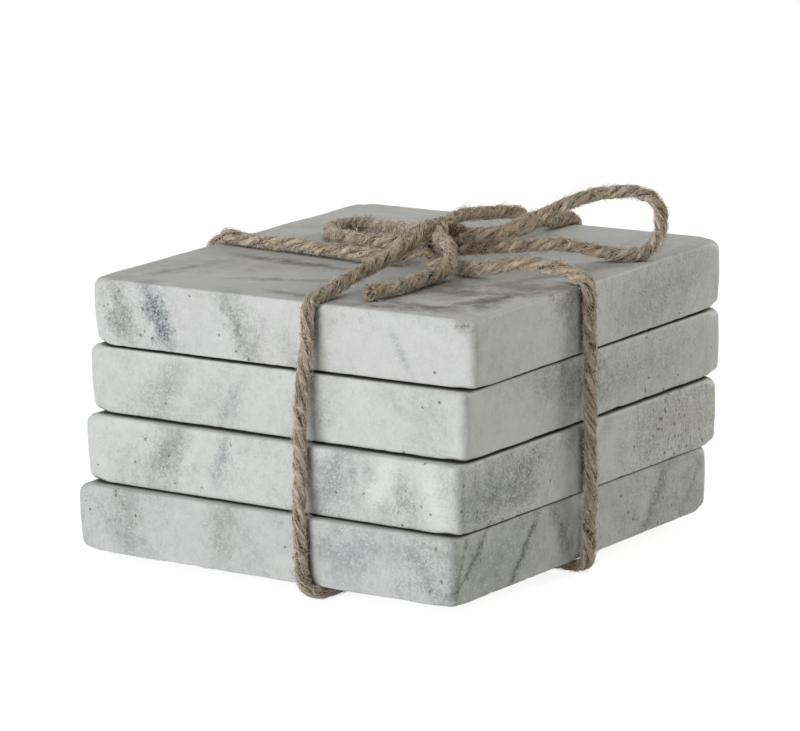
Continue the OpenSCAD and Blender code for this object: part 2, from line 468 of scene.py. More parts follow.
@dataclass(frozen=True)
class JuteFinish:
    """Jute, spun from bast fibre and left raw: dull warm brown, with pinkish and straw-coloured fibres.

    It scatters light and has next to no gloss, only a faint sheen from its fuzz.
    """

    light: str = "fffcf5"
    middle: str = "dccbb4"
    dark: str = "62503c"
    # Painted shade in the grooves between the plies
    groove_shade: str = "241b13"
    pink: str = "fff0ea"
    straw: str = "fff6d8"
    # Sizes of the patterns: of single fibres, of paler patches and of the changes of hue
    fibre_width: float = 0.16
    fibre_length: float = 2.0
    patch_length: float = 5.0
    hue_length: float = 1.25
    relief: float = 0.25
    roughness: float = 0.85
    sheen: float = 0.1

    def material(self) -> bpy.types.Material:
        """Builds the jute material.

        The fibre attribute runs round and along each ply in millimetres, so that noise stretched
        along it draws single fibres; the depth attribute paints shade into the grooves between the plies.

        Returns:
            The material.
        """
        material, add, shader = new_material("raw_jute_yarn")
        fibre = add("Attribute", attribute_name="fibre").outputs["Vector"]
        depth, tone = (add("Attribute", attribute_name=name).outputs["Fac"] for name in ("depth", "tone"))
        across = 1 / self.fibre_width
        lengthwise = add("VectorMath", {0: fibre, 1: (across, across, 1 / self.fibre_length)},
                         operation="MULTIPLY").outputs[0]
        streaks = add("TexNoise", {"Vector": lengthwise, "Scale": 1.0, "Detail": 3.0,
                                   "Roughness": 0.7}).outputs["Fac"]
        patches = add("TexNoise", {"Vector": fibre, "Scale": 1 / self.patch_length,
                                   "Detail": 3.0}).outputs["Fac"]
        # The two noises lie round 0.5, so the sum lies round 1.2
        level = tone
        for noise, weight in ((streaks, 1.6), (patches, 0.8)):
            level = add("Math", {0: noise, 1: weight, 2: level}, operation="MULTIPLY_ADD").outputs[0]
        share = add("MapRange", {"Value": level, "From Min": 0.72, "From Max": 1.68}).outputs["Result"]
        ramp = add("ValToRGB", {"Fac": share})
        ramp.color_ramp.elements[0].color = linear_colour(self.dark)
        ramp.color_ramp.elements[1].color = linear_colour(self.light)
        ramp.color_ramp.elements.new(0.5).color = linear_colour(self.middle)
        colour = ramp.outputs["Color"]
        # Some fibres are pinkish and some straw-coloured
        hue = add("TexNoise", {"Vector": fibre, "Scale": 1 / self.hue_length, "Detail": 1.0}).outputs["Fac"]
        for tint, low, high in ((self.pink, 0.52, 0.4), (self.straw, 0.54, 0.66)):
            share = add("MapRange", {"Value": hue, "From Min": low, "From Max": high}).outputs["Result"]
            colour = add("Mix", {"Factor": share, 6: colour, 7: tint}, data_type="RGBA",
                         blend_type="MULTIPLY").outputs[2]
        # In the grooves, half way in, hardly any light arrives, so shade is painted into the colour there
        open_air = add("MapRange", {"Value": depth, "From Min": 0.52, "From Max": 0.93,
                                    "To Min": 0.03}).outputs["Result"]
        colour = add("Mix", {"Factor": open_air, 6: self.groove_shade, 7: colour}, data_type="RGBA").outputs[2]
        bump = add("Bump", {"Height": streaks, "Strength": 1.0, "Distance": self.relief * MM})
        fill(shader, {"Base Color": colour, "Normal": bump.outputs["Normal"], "Roughness": self.roughness,
                      "Specular IOR Level": 0.2, "Sheen Weight": self.sheen, "Sheen Roughness": 0.5})
        return material


@dataclass(frozen=True)
class Mark:
    """A soft mark in one stone: a slanted, ragged band of limited length in its own tone. A few marks are
    painted shadows and painted shade.
    """

    centre: tuple[float, float, float]
    run: tuple[float, float, float]
    width: float
    length: float
    strength: float
    tint: str

    @property
    def face(self) -> tuple[float, float, float]:
        """1 along the two axes of the face that the mark lies on, 0 along the way into the stone."""
        if self.centre[2] > TOP_MARKS_Z:
            return 1.0, 1.0, 0.0
        return (0.0, 1.0, 1.0) if self.centre[0] > RIGHT_MARKS_X else (1.0, 0.0, 1.0)


@dataclass(frozen=True)
class Zone:
    """A part of one stone's sides where many crystals are dark."""

    centre: tuple[float, float, float]
    radius: float
    amount: float


@dataclass(frozen=True)
class MarbleFinish:
    """Honed white marble: a crystalline, sugary grain with grey clouds, dark specks and soft veins.

    Honing leaves the top matt and smooth. The sawn sides are rougher and show the crystals.
    """

    name: str
    # Where the stone is cut from the patterns
    shift: tuple[float, float, float]
    # Its tones, from the palest to the greyest
    pale: str
    body: str
    grey: str
    marks: tuple[Mark, ...]
    zones: tuple[Zone, ...]
    dark_crystal: str = "565955"
    # Colour of the painted highlights on single crystals
    painted_glint_colour: str = "fbfcfc"
    # Colour of the painted shade where another stone or the twine lies near
    painted_joint_shade: str = "67635a"
    # How near something has to be for painted shade to darken the stone
    joint_reach: float = 2.0
    # Crystals to the millimetre: the fine ones and the dark, grown ones
    crystals: float = 2.6
    grown_crystals: float = 0.95
    relief: float = 0.12
    roughness: float = 0.6
    ior: float = 1.45

    @staticmethod
    def _strength(add: AddNode, place: bpy.types.NodeSocket, ragged: bpy.types.NodeSocket,
                  mark: Mark) -> bpy.types.NodeSocket:
        """Strength of one mark: full on its middle line, fading across it and towards its ends.

        The distance from the middle line plus five widths times the noise lies round 2.5 widths on
        the line itself. The mark is full below 2.4 widths and gone from 3.8. It also fades from 3 to
        5 mm below the face that it lies on.

        Args:
            add: add_node for the tree.
            place: Position in millimetres.
            ragged: Noise round 0.5 that makes the mark's outline uneven.
            mark: The mark.

        Returns:
            The socket that holds its strength.
        """
        run = tuple(Vector(mark.run).normalized())
        offset = add("VectorMath", {0: place, 1: mark.centre}, operation="SUBTRACT").outputs[0]
        away = add("VectorMath", {0: offset, 1: mark.face}, operation="MULTIPLY").outputs[0]
        into = add("VectorMath", {0: offset, 1: away}, operation="DISTANCE").outputs["Value"]
        along = add("VectorMath", {0: away, 1: run}, operation="DOT_PRODUCT").outputs["Value"]
        on_line = add("VectorMath", {0: run, "Scale": along}, operation="SCALE").outputs[0]
        beside = add("VectorMath", {0: away, 1: on_line}, operation="DISTANCE").outputs["Value"]
        uneven = add("Math", {0: ragged, 1: 5.0 * mark.width, 2: beside}, operation="MULTIPLY_ADD").outputs[0]
        length = add("Math", {0: along}, operation="ABSOLUTE").outputs[0]
        across, ends, near = (
            add("MapRange", {"Value": value, "From Min": none, "From Max": full,
                             "To Max": most}).outputs["Result"]
            for value, none, full, most in (
                (uneven, 3.8 * mark.width, 2.4 * mark.width, 1.0),
                (length, mark.length, 0.3 * mark.length, 1.0),
                (into, 5.0, 3.0, mark.strength),
            )
        )
        both = add("Math", {0: across, 1: ends}, operation="MULTIPLY").outputs[0]
        return add("Math", {0: both, 1: near}, operation="MULTIPLY").outputs[0]

    def material(self) -> bpy.types.Material:
        """Builds the marble of one stone.

        The sawn attribute is 1 on the sides, which are rougher and show the crystals, and 0 on the
        smoother top. The speckle attribute says how many crystals are dark. Where another stone or the
        twine lies near, ambient occlusion paints shade into the marble's colour and takes its gloss, so
        that a closed joint shows as a dark line and an open one doesn't.

        Returns:
            The material.
        """
        material, add, shader = new_material(self.name)
        metres = add("TexCoord").outputs["Object"]
        sawn, speckle = (add("Attribute", attribute_name=name).outputs["Fac"] for name in ("sawn", "speckle"))
        place = add("VectorMath", {0: metres, "Scale": 1 / MM}, operation="SCALE").outputs[0]
        shifted = add("VectorMath", {0: place, 1: self.shift}, operation="ADD").outputs[0]
        upright = add("VectorMath", {0: shifted, 1: (1.1, 1.1, 0.16)}, operation="MULTIPLY").outputs[0]
        # Clouds of grey about 20 mm across, mottling of 3 mm, ragged outlines for the marks,
        # roughness of 0.5 mm and faint upright saw marks; a scale is in cells to the millimetre
        clouds, mottle, ragged, grain, drag = (
            add("TexNoise", {"Vector": vector, "Scale": scale, "Detail": detail, "Roughness": roughness,
                             "Distortion": distortion}).outputs["Fac"]
            for vector, scale, detail, roughness, distortion in (
                (shifted, 0.055, 5.0, 0.6, 0.8),
                (shifted, 0.35, 4.0, 0.75, 0.0),
                (shifted, 0.3, 5.0, 0.8, 0.0),
                (shifted, 2.0, 2.0, 0.7, 0.0),
                (upright, 1.0, 2.0, 0.5, 0.0),
            )
        )
        # Each crystal has two chance values of its own
        cells = add("TexVoronoi", {"Vector": shifted, "Scale": self.crystals}).outputs["Color"]
        chances = add("SeparateColor", {"Color": cells})
        chance, other = chances.outputs["Red"], chances.outputs["Green"]
        fine = add("Math", {0: chance, 1: drag}, operation="ADD").outputs[0]
        fine = add("Math", {0: fine, 1: 1.0}, operation="SUBTRACT").outputs[0]
        fine = add("Math", {0: fine, 1: sawn}, operation="MULTIPLY").outputs[0]
        contrast = add("Math", {0: speckle, 1: 0.5, 2: 0.16}, operation="MULTIPLY_ADD").outputs[0]
        # The sum lies round 1.15 on every face
        level = 0.0
        for part, weight in ((clouds, 1.2), (mottle, 1.1), (fine, contrast), (speckle, 0.12)):
            level = add("Math", {0: part, 1: weight, 2: level}, operation="MULTIPLY_ADD").outputs[0]
        share = add("MapRange", {"Value": level, "From Min": 0.68, "From Max": 1.68}).outputs["Result"]
        ramp = add("ValToRGB", {"Fac": share})
        ramp.color_ramp.elements[0].color = linear_colour(self.pale)
        ramp.color_ramp.elements[1].color = linear_colour(self.grey)
        ramp.color_ramp.elements.new(0.5).color = linear_colour(self.body)
        # A mark takes some crystals more than others, on the sides
        spread = add("Math", {0: other, 1: 1.2, 2: -0.6}, operation="MULTIPLY_ADD").outputs[0]
        spread = add("Math", {0: spread, 1: sawn, 2: 1.0}, operation="MULTIPLY_ADD").outputs[0]
        layers = [
            (add("Math", {0: self._strength(add, place, ragged, mark), 1: spread},
                 operation="MULTIPLY").outputs[0], mark.tint)
            for mark in self.marks
        ]
        # Dark crystals, few or many, with rough outlines
        grown = add("TexVoronoi", {"Vector": shifted, "Scale": self.grown_crystals})
        chosen = add("SeparateColor", {"Color": grown.outputs["Color"]}).outputs["Red"]
        least = add("Math", {0: speckle, 1: -0.08, 2: 1.0}, operation="MULTIPLY_ADD").outputs[0]
        chosen = add("Math", {0: chosen, 1: least}, operation="GREATER_THAN").outputs[0]
        uneven = add("Math", {0: grain, 1: 0.8, 2: grown.outputs["Distance"]},
                     operation="MULTIPLY_ADD").outputs[0]
        dark = add("MapRange", {"Value": uneven, "From Min": 0.84, "From Max": 0.7,
                                "To Max": 0.72}).outputs["Result"]
        dark = add("Math", {0: dark, 1: chosen}, operation="MULTIPLY").outputs[0]
        # Painted highlights: single crystals painted near white as if they caught the light, in patches on
        # the sides
        painted_glint = add("MapRange", {"Value": other, "From Min": 0.08, "From Max": 0.03}).outputs["Result"]
        patchy = add("MapRange", {"Value": mottle, "From Min": 0.46, "From Max": 0.56,
                                  "To Max": 0.38}).outputs["Result"]
        patchy = add("Math", {0: patchy, 1: sawn}, operation="MULTIPLY").outputs[0]
        painted_glint = add("Math", {0: painted_glint, 1: patchy}, operation="MULTIPLY").outputs[0]
        # Painted shade: the colour darkens where ambient occlusion finds another stone or the twine within
        # reach
        free = add("AmbientOcclusion", {"Distance": self.joint_reach * MM}, samples=6).outputs["AO"]
        occlusion_shade = add("MapRange", {"Value": free, "From Min": 0.8, "From Max": 0.2}).outputs["Result"]
        layers += [(dark, self.dark_crystal), (painted_glint, self.painted_glint_colour), (occlusion_shade, self.painted_joint_shade)]
        colour = ramp.outputs["Color"]
        for share, tint in layers:
            colour = add("Mix", {"Factor": share, 6: colour, 7: tint}, data_type="RGBA").outputs[2]
        height = add("Math", {0: chance, 1: 0.25, 2: grain}, operation="MULTIPLY_ADD").outputs[0]
        depth = add("MapRange", {"Value": sawn, "To Min": 0.1, "To Max": 0.7}).outputs["Result"]
        bump = add("Bump", {"Height": height, "Strength": depth, "Distance": self.relief * MM})
        # Where the painted shade lies, the gloss is taken away too
        gloss = add("MapRange", {"Value": occlusion_shade, "To Min": 0.5, "To Max": 0.0}).outputs["Result"]
        fill(shader, {"Base Color": colour, "Normal": bump.outputs["Normal"], "Specular IOR Level": gloss,
                      "Roughness": self.roughness, "IOR": self.ior})
        return material


@dataclass
class Stone:
    """One square coaster of marble with eased edges, an undercut below them and rounded corners."""

    # 0 for the lowest stone, up to 3
    number: int
    finish: MarbleFinish
    seed: int
    # Radii of the upright corners, and of the top edge there: back right, back left, front left,
    # front right
    corners: tuple[float, float, float, float]
    corner_edges: tuple[float, float, float, float] = (2.2, 2.4, 2.2, 1.2)
    side: float = 100.0
    top_edge: float = 0.6
    left_top_edge: float = 2.8
    low_edge: float = 0.3
    undercut: float = 0.4
    undercut_width: float = 6.0
    # How far the sides lean inward on their way down
    lean: float = 0.4
    # Depth of the small chips and the wider dents in the edges, of the unevenness all over, and of
    # the core that they are taken towards
    chip_depth: float = 0.3
    dent_depth: float = 0.16
    uneven_depth: float = 0.03
    core_depth: float = 3.0
    # How many crystals are dark where no zone has more
    least_speckle: float = 0.06
    spacing: float = 0.7

    def _outline(self) -> tuple[np.ndarray, ...]:
        """Outline of the stone in plan: straight sides joined by a quarter circle at each corner.

        Returns:
            Points, unit normals, how near each is to a corner, the edge radius of its nearest
            corner, and how near it is to the left side, 0 to 1.
        """
        half = self.side / 2
        points, normals, nears, edges = [], [], [], []
        for quarter in range(4):
            before, radius = self.corners[quarter - 1], self.corners[quarter]
            turn = turning(90 * quarter)[:2, :2]
            run = int((self.side - before - radius) / self.spacing)
            y = np.linspace(-half + before, half - radius, run, endpoint=False)
            points.append(np.stack([np.full(run, half), y], axis=1) @ turn)
            normals.append(np.tile([1.0, 0.0], (run, 1)) @ turn)
            nears.append(1 - smoothstep(half - np.abs(y), 2.0, 7.0))
            edges.append(np.where(y < 0, self.corner_edges[quarter - 1], self.corner_edges[quarter]))
            # The quarter circle is twice as fine as the straight side
            count = int(radius * math.pi / 2 / self.spacing * 2.0) + 2
            bend = np.linspace(0, math.pi / 2, count, endpoint=False)
            way = np.stack([np.cos(bend), np.sin(bend)], axis=1)
            points.append((half - radius + radius * way) @ turn)
            normals.append(way @ turn)
            nears.append(np.ones(count))
            edges.append(np.full(count, self.corner_edges[quarter]))
        normals = np.concatenate(normals)
        left = smoothstep(-normals[:, 0], 0.3, 1.0)
        return np.concatenate(points), normals, np.concatenate(nears), np.concatenate(edges), left

    def _rings(self, half_height: float) -> tuple[np.ndarray, np.ndarray]:
        """Rings of points from the middle of the top, over the edge, down and under.

        The edge's arc is inset = r (1 - sin a), drop = r (1 - cos a). Below, the face ends in a
        smaller arc and the underside rises to it as lift = undercut (1 - u)^2, so that the joint
        between two stones shows as a thin dark line.

        Args:
            half_height: Half of the stone's thickness.

        Returns:
            Points in rings round the stone's middle, in millimetres, and for each ring 1 on the
            sides and 0 on the top and the underside.
        """
        outline, normal, near, edge, left = self._outline()
        place = np.concatenate([outline, np.zeros((len(outline), 1))], axis=1)
        # The edges' radii vary by a fifth along the straight sides
        wobble = 1 + 0.2 * lattice_noise(place, 11.0, self.seed) * (1 - near)
        straight = self.top_edge + (self.left_top_edge - self.top_edge) * left
        top = np.maximum(straight * wobble, self.top_edge + (edge - self.top_edge) * near)
        # The lower edge goes a little further in than up
        low_in = (self.low_edge + 0.1 + (edge - self.low_edge) * near) * wobble
        low_up = (self.low_edge + 0.8 * (edge - self.low_edge) * near) * wobble
        zero = np.zeros(len(outline))
        bend = np.linspace(0, math.pi / 2, 7)
        # Shares of the stone's half width at which the rings of its top lie
        inward = (0.04, 0.15, 0.3, 0.45, 0.6, 0.72, 0.82, 0.9, 0.94, 0.965, 0.98, 0.992)
        low_start = self.undercut - half_height + low_up
        # Each ring is its inset, its height, its scale in plan and how far it is on the sides
        rings = [(top, zero + half_height, share, 0.0) for share in inward]
        rings += [(top * (1 - math.sin(angle)), half_height - top * (1 - math.cos(angle)), 1.0,
                   math.sin(angle) ** 2) for angle in bend]
        rings += [(zero, (half_height - top) * (1 - share) + low_start * share, 1.0, 1.0)
                  for share in np.linspace(0, 1, 16)[1:-1]]
        rings += [(low_in * (1 - math.cos(angle)), low_start - low_up * math.sin(angle), 1.0, 1.0)
                  for angle in bend]
        rings += [(low_in, zero - half_height + self.undercut * (1 - u) ** 2,
                   1 - 2 * u * self.undercut_width / self.side, 0.5)
                  for u in (0.12, 0.25, 0.4, 0.6, 0.8, 1.0)]
        rings += [(low_in, zero - half_height, share * 0.95, 0.0) for share in inward[-5::-1]]
        inset, height, scale, sawn = (np.array(part) for part in zip(*rings))
        lean = self.lean * smoothstep(-height, -1.0, half_height)
        flat = (outline - normal * (inset + lean)[..., None]) * scale[:, None, None]
        return np.concatenate([flat, height[..., None]], axis=2), sawn

    def _weathered(self, points: np.ndarray, half_height: float) -> np.ndarray:
        """Wears the edges: small chips and dents, taken inward along the direction from the flat core.

        Args:
            points: Points around the stone's middle.
            half_height: Half of the stone's thickness.

        Returns:
            The points, moved.
        """
        core = np.array([self.side / 2, self.side / 2, half_height]) - self.core_depth
        outward = unit(points - np.clip(points, -core, core))
        edge = smoothstep(1 - np.abs(outward).max(axis=-1), 0.02, 0.2)
        # Chips of 1.7 mm and dents of 6 mm only where their noise is high, unevenness everywhere
        chips = self.chip_depth * np.clip(lattice_noise(points, 1.7, self.seed + 1) - 0.45, 0, 1)
        dents = self.dent_depth * np.clip(lattice_noise(points, 6.0, self.seed + 2) - 0.3, 0, 1)
        uneven = self.uneven_depth * (1 + lattice_noise(points, 3.5, self.seed + 3))
        return points - outward * (edge * (chips + dents) + uneven)[..., None]

    def build(self) -> bpy.types.Object:
        """Builds the stone where its solid is.

        Returns:
            The finished piece.
        """
        low, high = stone_box(self.number)
        half_height = (high[2] - low[2]) / 2
        rings, sawn = self._rings(half_height)
        rings = self._weathered(rings, half_height)
        count, around = rings.shape[:2]
        points = rings.reshape(-1, 3) @ turning(TILE_TURNS[self.number]) + (low + high) / 2
        poles = [ring.mean(axis=0, keepdims=True) for ring in (points[:around], points[-around:])]
        points = np.concatenate([points, *poles])
        sawn = np.concatenate([np.repeat(sawn, around), [0.0, 0.0]])
        speckle = np.full(len(points), self.least_speckle)
        for zone in self.finish.zones:
            distance = np.linalg.norm(points - zone.centre, axis=1)
            nearness = 1 - smoothstep(distance, 0.3 * zone.radius, zone.radius)
            speckle = np.maximum(speckle, zone.amount * nearness)
        node = f"coaster_{self.number + 1}"
        # The rings run from the top down, so the faces are turned round
        quads = tube_quads(1, count, around)[:, [0, 3, 2, 1]]
        triangles = cap_triangles(count, around)[:, [0, 2, 1]]
        surface = Surface(points * MM, quads, triangles, {"sawn": sawn, "speckle": speckle * sawn})
        piece = surface.piece(f"marble_{node}", self.finish.material(), Slot.MARBLE)
        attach(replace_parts(piece, node), BODIES[self.number])
        return piece


@dataclass
class Twine:
    """Three-ply jute twine laid along a line, with fibres that lie on it and stray from it."""

    line: Line
    seed: int
    # Length in which the plies turn once
    lay: float
    diameter: float = BODY_D
    plies: int = 3
    sides: int = 16
    # Fibres that lie on each millimetre of twine, that stray from each, and that a cut end has
    lying: float = 11.0
    stray: float = 26.0
    brush: int = 260
    # How much darker the twine is painted, as shade where it lies deep inside the knot
    shade: float = 0.0
    fray: bool = False

    def __post_init__(self) -> None:
        """Works out the plies: three circles that press into each other inside the twine's circle."""
        self.ply_radius = self.diameter / 2 / (1 + 2 / math.sqrt(3)) * 1.08
        self.ply_offset = self.diameter / 2 * 0.97 - self.ply_radius
        self.random = np.random.default_rng(self.seed)
        self.phase = self.random.uniform(0, 2 * math.pi)

    def _pressed(self, points: np.ndarray, centres: np.ndarray) -> np.ndarray:
        """Flattens the twine where it lies under the stack: lower and wider round its centre.

        None of it goes through the floor or into the stone above.

        Args:
            points: Points of the twine's surface.
            centres: The twine's own centre beside each point.

        Returns:
            The points, moved.
        """
        share = 1 - smoothstep(centres[..., 2:3], *(PRESSED_H / 2 + rise for rise in PRESSED_FADE))
        wide = 1 + PRESSED_SPREAD * share
        flat = 1 - (1 - PRESSED_H / self.diameter) * share
        moved = centres + (points - centres) * np.concatenate([wide, wide, flat], axis=-1)
        ceiling = np.where(share[..., 0] == 1, PRESSED_H - PRESSED_GAP, np.inf)
        moved[..., 2] = np.clip(moved[..., 2], PRESSED_GAP, ceiling)
        return moved

    def _helix(self, number: int, first: int, last: int) -> tuple[np.ndarray, ...]:
        """Course of one ply: a left-handed helix round the twine's line.

        It wanders by up to half a radian, its distance from the line varies by 22 per cent and its
        own thickness by 18. At a frayed end the plies draw apart.

        Args:
            number: Which ply.
            first: Number of the first ring.
            last: Number of the last ring.

        Returns:
            For each ring its centre, two unit vectors square to the ply, and how thick the ply is
            there, 1 on average.
        """
        line = self.line
        # One more point at either end gives the ply's direction there
        whole = slice(max(first - 1, 0), last + 2)
        along = line.along[whole]
        # Every ply has a row of its own in the noise
        own = along[:, None] * [1, 0, 0] + [0.0, 31.0 * number, self.seed]
        slack = 0.5 * lattice_noise(own, 7.0, self.seed + 20 + number)
        angle = self.phase - 2 * math.pi * along / self.lay + 2 * math.pi * number / self.plies + slack
        swell = 1 + 0.18 * lattice_noise(own, 3.0, self.seed + number)
        offset = self.ply_offset * (1 + 0.22 * lattice_noise(own, 4.0, self.seed + 7 + number))
        if self.fray:
            offset = offset * (1 + 0.9 * smoothstep(along, line.length - 3.0, line.length))
        inward = np.cos(angle)[:, None] * line.side[whole] + np.sin(angle)[:, None] * line.other[whole]
        centres = line.points[whole] + offset[:, None] * inward
        tangents = unit(np.gradient(centres, axis=0))
        side = unit(inward - (inward * tangents).sum(axis=1, keepdims=True) * tangents)
        cut = slice(first - whole.start, last + 1 - whole.start)
        return tuple(part[cut] for part in (centres, side, np.cross(tangents, side), swell))

    def _ply(self, number: int, first: int, last: int) -> Surface:
        """One ply: a tube of raised fibres carried along its helix.

        Its own fibres turn the other way, so they slide round the tube as it runs. The tube's
        radius is r swell (1 + ridges), the ridges being noise drawn out along the fibres.

        Args:
            number: Which ply.
            first: Number of the first ring.
            last: Number of the last ring.

        Returns:
            The closed tube.
        """
        along = self.line.along[first:last + 1]
        centres, side, other, swell = self._helix(number, first, last)
        round_it = np.linspace(0, 2 * math.pi, self.sides, endpoint=False)[None]
        fibre = round_it + 2 * math.pi * along[:, None] / (self.lay * 0.8)
        fibre_place = np.stack([
            np.cos(fibre) * self.ply_radius + 9 * number,
            np.sin(fibre) * self.ply_radius,
            np.broadcast_to(along[:, None], fibre.shape) + self.seed,
        ], axis=-1)
        # Strands 0.3 mm wide and seven times as long, and lumps of 0.9 mm
        strands = lattice_noise(fibre_place * [1, 1, 0.14], 0.3, self.seed + 40 + number)
        lumps = lattice_noise(fibre_place, 0.9, self.seed + 60 + number)
        radius = self.ply_radius * swell[:, None] * (1 + 0.2 * strands + 0.1 * lumps)
        points = round_about(centres[:, None], side[:, None], other[:, None], round_it, radius)
        middle = self.line.points[first:last + 1][:, None]
        depth = np.linalg.norm(points - middle, axis=-1) / (self.diameter / 2)
        points = self._pressed(points, np.broadcast_to(middle, points.shape))
        flat = np.concatenate([points.reshape(-1, 3), points[[0, -1]].mean(axis=1)])
        tone = self.shade + 0.08 * math.sin(2.1 * number + self.seed) + 0.3 * strands
        quads, triangles = tube_quads(1, len(along), self.sides), cap_triangles(len(along), self.sides)
        # The centre points of the two ends are painted dark, as shade inside the twine
        return Surface(flat * MM, quads, triangles, {
            "fibre": np.concatenate([fibre_place.reshape(-1, 3), fibre_place[[0, -1], 0]]),
            "depth": np.concatenate([depth.reshape(-1), [0.4, 0.4]]),
            "tone": np.concatenate([tone.reshape(-1), [-0.4, -0.4]]),
        })

    def _threads(self, paths: np.ndarray, centres: np.ndarray, widths: tuple[float, float],
                 tones: tuple[float, float]) -> Surface:
        """Thin three-sided tubes along many short paths, tapering to their tips.

        Args:
            paths: For each thread its points.
            centres: The twine's own centre beside each point.
            widths: Least and largest radius of a thread at its root.
            tones: How pale the threads are: mean and spread.

        Returns:
            All the threads as one surface.
        """
        count, steps = paths.shape[:2]
        radius = self.random.uniform(*widths, count)
        tone = self.random.normal(*tones, count)
        tangents = unit(np.gradient(paths, axis=1))
        # A slanted direction that hardly any thread runs along
        side = unit(np.cross(tangents, [0.31, 0.55, 0.77]))
        other = np.cross(tangents, side)
        taper = 1 - 0.6 * np.linspace(0, 1, steps) ** 2
        angles = np.linspace(0, 2 * math.pi, 3, endpoint=False)
        points = round_about(paths[:, :, None], side[:, :, None], other[:, :, None], angles,
                             (radius[:, None] * taper)[..., None])
        points = self._pressed(points, np.broadcast_to(centres[:, :, None], points.shape))
        root = np.arange(count) * steps * 3
        tip = root + (steps - 1) * 3
        triangles = np.concatenate([np.stack([root + 2, root + 1, root], axis=1),
                                    np.stack([tip, tip + 1, tip + 2], axis=1)])
        return Surface(points.reshape(-1, 3) * MM, tube_quads(count, steps, 3), triangles, {
            "fibre": np.repeat(self.random.uniform(0, 50, (count, 3)), steps * 3, axis=0),
            "depth": np.ones(count * steps * 3),
            "tone": np.repeat(tone + self.shade, steps * 3),
        })

    def _ply_surface(self, where: np.ndarray, angle: np.ndarray) -> np.ndarray:
        """Distance of the plies' surface from the centre, at angles round the twine.

        Off a ply's own angle by d, the circle of radius r round a centre at distance c is met at
        c cos d + sqrt(r^2 - c^2 sin^2 d).

        Args:
            where: Lengths along the line.
            angle: Angles round it.

        Returns:
            The distances.
        """
        third = 2 * math.pi / self.plies
        off = (angle - self.phase + 2 * math.pi * where / self.lay + third / 2) % third - third / 2
        square = self.ply_radius ** 2 - (self.ply_offset * np.sin(off)) ** 2
        return self.ply_offset * np.cos(off) + np.sqrt(np.maximum(square, 0.0))

    def _lying_fibres(self, low: float, high: float) -> Surface:
        """Fibres that lie on the plies or bridge the grooves between them, and cross at a slant.

        Args:
            low: Where the stretch starts along the line.
            high: Where it ends.

        Returns:
            The fibres.
        """
        count = max(4, int((high - low) * self.lying))
        steps = np.linspace(0, 1, 5)
        start = self.random.uniform(low, high, count)
        # They run 0.8 to 4.5 mm, either way
        reach = self.random.uniform(0.8, 4.5, count) * self.random.choice([-1, 1], count)
        # Three in ten wander far from the slant of the plies
        astray = np.where(self.random.uniform(0, 1, count) < 0.3, 0.9, 0.2)
        turn = -2 * math.pi * reach / self.lay * self.random.uniform(0.7, 1.2, count)
        turn += self.random.normal(0, 1, count) * astray
        where = np.clip(start[:, None] + reach[:, None] * steps, low, high)
        angle = self.random.uniform(0, 2 * math.pi, count)[:, None] + turn[:, None] * steps
        lift = self.random.gamma(1.5, 0.09, count)[:, None] * np.sin(math.pi * steps)
        surface = self._ply_surface(where, angle)
        # Most lie in the grooves, and a few run straight over them
        bridge = self.random.uniform(0, 1, count)[:, None] ** 4
        radius = surface + (self.diameter / 2 - surface) * bridge + lift
        centre, _, side, other = self.line.at(where)
        paths = round_about(centre, side, other, angle, radius)
        return self._threads(paths, centre, (0.03, 0.09), (0.14, 0.42))

    def _stray_fibres(self, low: float, high: float) -> Surface:
        """Fibres that stand away from the twine: mostly short fuzz, with a few long hairs.

        Args:
            low: Where the stretch starts along the line.
            high: Where it ends.

        Returns:
            The fibres.
        """
        count = max(4, int((high - low) * self.stray))
        steps = np.linspace(0, 1, 5)
        start = self.random.uniform(low, high, count)
        reach = self.random.normal(0, 1.3, count)
        # Fuzz ends 0.12 to 1.3 mm out, and one fibre in twenty is a long hair
        height = np.minimum(0.12 + self.random.gamma(1.2, 0.28, count), 1.3)
        long = self.random.uniform(0, 1, count) < 0.05
        height = np.where(long, self.random.uniform(0.8, 2.4, count), height)
        reach = np.where(long, reach * 2, reach)
        where = np.clip(start[:, None] + reach[:, None] * steps, low, high)
        angle = (self.random.uniform(0, 2 * math.pi, count)[:, None]
                 + self.random.normal(0, 0.8, count)[:, None] * steps
                 + self.random.normal(0, 0.6, count)[:, None] * steps ** 2)
        rise = steps ** self.random.uniform(0.7, 1.6, count)[:, None]
        radius = self.diameter / 2 * 0.88 + height[:, None] * rise
        centre, _, side, other = self.line.at(where)
        paths = round_about(centre, side, other, angle, radius)
        return self._threads(paths, centre, (0.03, 0.065), (0.25, 0.35))

    def _cut_end(self) -> Surface:
        """A brush of fibre ends that stick out of the cut end of a tail.

        Returns:
            The fibres.
        """
        steps = np.linspace(0, 1, 6)
        end, ahead, side, other = self.line.at(np.full((self.brush, 1), self.line.length - 1.2))
        angle = self.random.uniform(0, 2 * math.pi, self.brush)[:, None]
        start = self.diameter / 2 * np.sqrt(self.random.uniform(0, 1, self.brush))[:, None]
        flare = self.random.uniform(0, 0.8, self.brush)[:, None]
        reach = self.random.uniform(0.8, 2.4, self.brush)[:, None, None]
        paths = round_about(end + ahead * reach * steps[None, :, None], side, other, angle,
                            start + flare * steps ** 2)
        return self._threads(paths, np.broadcast_to(end, paths.shape), (0.04, 0.08), (-0.1, 0.35))

